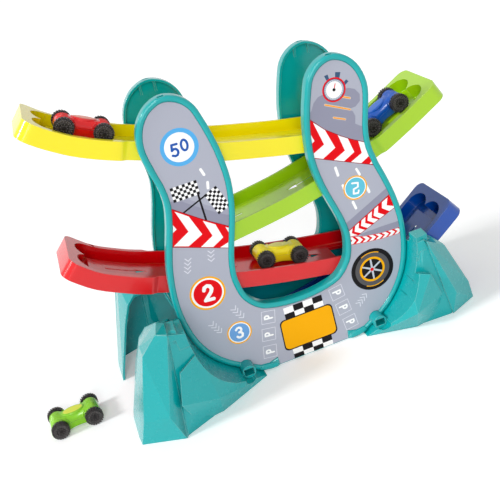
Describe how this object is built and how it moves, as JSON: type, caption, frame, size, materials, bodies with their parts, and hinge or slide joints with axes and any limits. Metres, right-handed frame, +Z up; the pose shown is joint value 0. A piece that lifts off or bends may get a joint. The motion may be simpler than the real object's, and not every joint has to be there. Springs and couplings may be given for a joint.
{
  "type": "toy race track set",
  "caption": "Zig-zag toy race track: U-shaped printed side panels on faceted rock feet carry sloping channel tracks for small wheeled cars.",
  "frame": {"origin": "middle of the whole set's footprint on the floor, with the loose car", "axes": "+Z up, the printed front panel faces -Y, +X to the right of someone who faces it; +X is the set's longest extent"},
  "size_m": [0.4915, 0.2086, 0.3344],
  "materials": {
    "teal_plastic": "moulded teal plastic, satin gloss",
    "rock_teal_plastic": "moulded deep teal plastic, satin",
    "printed_sheet": "printed grey sheet with road figures",
    "yellow_plastic": "moulded yellow plastic, gloss",
    "green_plastic": "moulded lime green plastic, gloss",
    "red_plastic": "moulded red plastic, gloss",
    "blue_plastic": "moulded blue plastic, gloss",
    "red_car_plastic": "moulded red plastic, gloss",
    "blue_car_plastic": "moulded blue plastic, gloss",
    "yellow_car_plastic": "moulded yellow plastic, gloss",
    "green_car_plastic": "moulded green plastic, gloss",
    "wheel_rubber": "black knobbly rubber",
    "axle_steel": "plain steel wire"
  },
  "bodies": {
    "stand": {"back_decal": "printed_sheet", "back_left_foot": "rock_teal_plastic", "back_panel": "teal_plastic", "back_right_foot": "rock_teal_plastic", "blue_track": "blue_plastic", "front_decal": "printed_sheet", "front_left_foot": "rock_teal_plastic", "front_panel": "teal_plastic", "front_right_foot": "rock_teal_plastic", "green_track": "green_plastic", "red_track": "red_plastic", "yellow_track": "yellow_plastic"},
    "red_car_body": {"red_car_upper_shell": "red_car_plastic", "red_car_lower_shell": "red_car_plastic"},
    "red_car_front_wheels": {"red_car_front_axle": "axle_steel", "red_car_front_left_wheel": "wheel_rubber", "red_car_front_right_wheel": "wheel_rubber"},
    "red_car_rear_wheels": {"red_car_rear_axle": "axle_steel", "red_car_rear_left_wheel": "wheel_rubber", "red_car_rear_right_wheel": "wheel_rubber"},
    "blue_car_body": {"blue_car_upper_shell": "blue_car_plastic", "blue_car_lower_shell": "blue_car_plastic"},
    "blue_car_front_wheels": {"blue_car_front_axle": "axle_steel", "blue_car_front_left_wheel": "wheel_rubber", "blue_car_front_right_wheel": "wheel_rubber"},
    "blue_car_rear_wheels": {"blue_car_rear_axle": "axle_steel", "blue_car_rear_left_wheel": "wheel_rubber", "blue_car_rear_right_wheel": "wheel_rubber"},
    "yellow_car_body": {"yellow_car_upper_shell": "yellow_car_plastic", "yellow_car_lower_shell": "yellow_car_plastic"},
    "yellow_car_front_wheels": {"yellow_car_front_axle": "axle_steel", "yellow_car_front_left_wheel": "wheel_rubber", "yellow_car_front_right_wheel": "wheel_rubber"},
    "yellow_car_rear_wheels": {"yellow_car_rear_axle": "axle_steel", "yellow_car_rear_left_wheel": "wheel_rubber", "yellow_car_rear_right_wheel": "wheel_rubber"},
    "green_car_body": {"green_car_upper_shell": "green_car_plastic", "green_car_lower_shell": "green_car_plastic"},
    "green_car_front_wheels": {"green_car_front_axle": "axle_steel", "green_car_front_left_wheel": "wheel_rubber", "green_car_front_right_wheel": "wheel_rubber"},
    "green_car_rear_wheels": {"green_car_rear_axle": "axle_steel", "green_car_rear_left_wheel": "wheel_rubber", "green_car_rear_right_wheel": "wheel_rubber"}
  },
  "joints": [
    {"name": "red_car_roll", "type": "hinge", "parent": "stand", "child": "red_car_body", "pos_m": [-0.01212, 0, 0.49011], "axis": [0, -1, 0], "range_deg": [-2.4, 10]},
    {"name": "red_car_front_wheel_spin", "type": "hinge", "parent": "red_car_body", "child": "red_car_front_wheels", "pos_m": [-0.09199, 0, 0.29421], "axis": [0, 1, 0], "continuous": true},
    {"name": "red_car_rear_wheel_spin", "type": "hinge", "parent": "red_car_body", "child": "red_car_rear_wheels", "pos_m": [-0.12496, 0, 0.31101], "axis": [0, 1, 0], "continuous": true},
    {"name": "blue_car_roll", "type": "hinge", "parent": "stand", "child": "blue_car_body", "pos_m": [-0.10095, 0, 0.80811], "axis": [0, 1, 0], "range_deg": [-0.6, 1.7]},
    {"name": "blue_car_front_wheel_spin", "type": "hinge", "parent": "blue_car_body", "child": "blue_car_front_wheels", "pos_m": [0.16951, 0, 0.21379], "axis": [0, -1, 0], "continuous": true},
    {"name": "blue_car_rear_wheel_spin", "type": "hinge", "parent": "blue_car_body", "child": "blue_car_rear_wheels", "pos_m": [0.20272, 0, 0.23009], "axis": [0, -1, 0], "continuous": true},
    {"name": "yellow_car_roll", "type": "hinge", "parent": "stand", "child": "yellow_car_body", "pos_m": [0.2166, 0, 0.9064], "axis": [0, -1, 0], "range_deg": [-2.6, 2.6]},
    {"name": "yellow_car_front_wheel_spin", "type": "hinge", "parent": "yellow_car_body", "child": "yellow_car_front_wheels", "pos_m": [0.06339, 0, 0.1032], "axis": [0, 1, 0], "continuous": true},
    {"name": "yellow_car_rear_wheel_spin", "type": "hinge", "parent": "yellow_car_body", "child": "yellow_car_rear_wheels", "pos_m": [0.02722, 0, 0.11097], "axis": [0, 1, 0], "continuous": true},
    {"name": "green_car_roll", "type": "slide", "parent": "stand", "child": "green_car_body", "axis": [0.9962, 0.0872, 0], "range_m": [-0.05, 0.05]},
    {"name": "green_car_front_wheel_spin", "type": "hinge", "parent": "green_car_body", "child": "green_car_front_wheels", "pos_m": [-0.19785, -0.00839, 0.00965], "axis": [-0.0872, 0.9962, 0], "continuous": true},
    {"name": "green_car_rear_wheel_spin", "type": "hinge", "parent": "green_car_body", "child": "green_car_rear_wheels", "pos_m": [-0.23471, -0.01161, 0.00965], "axis": [-0.0872, 0.9962, 0], "continuous": true}
  ]
}
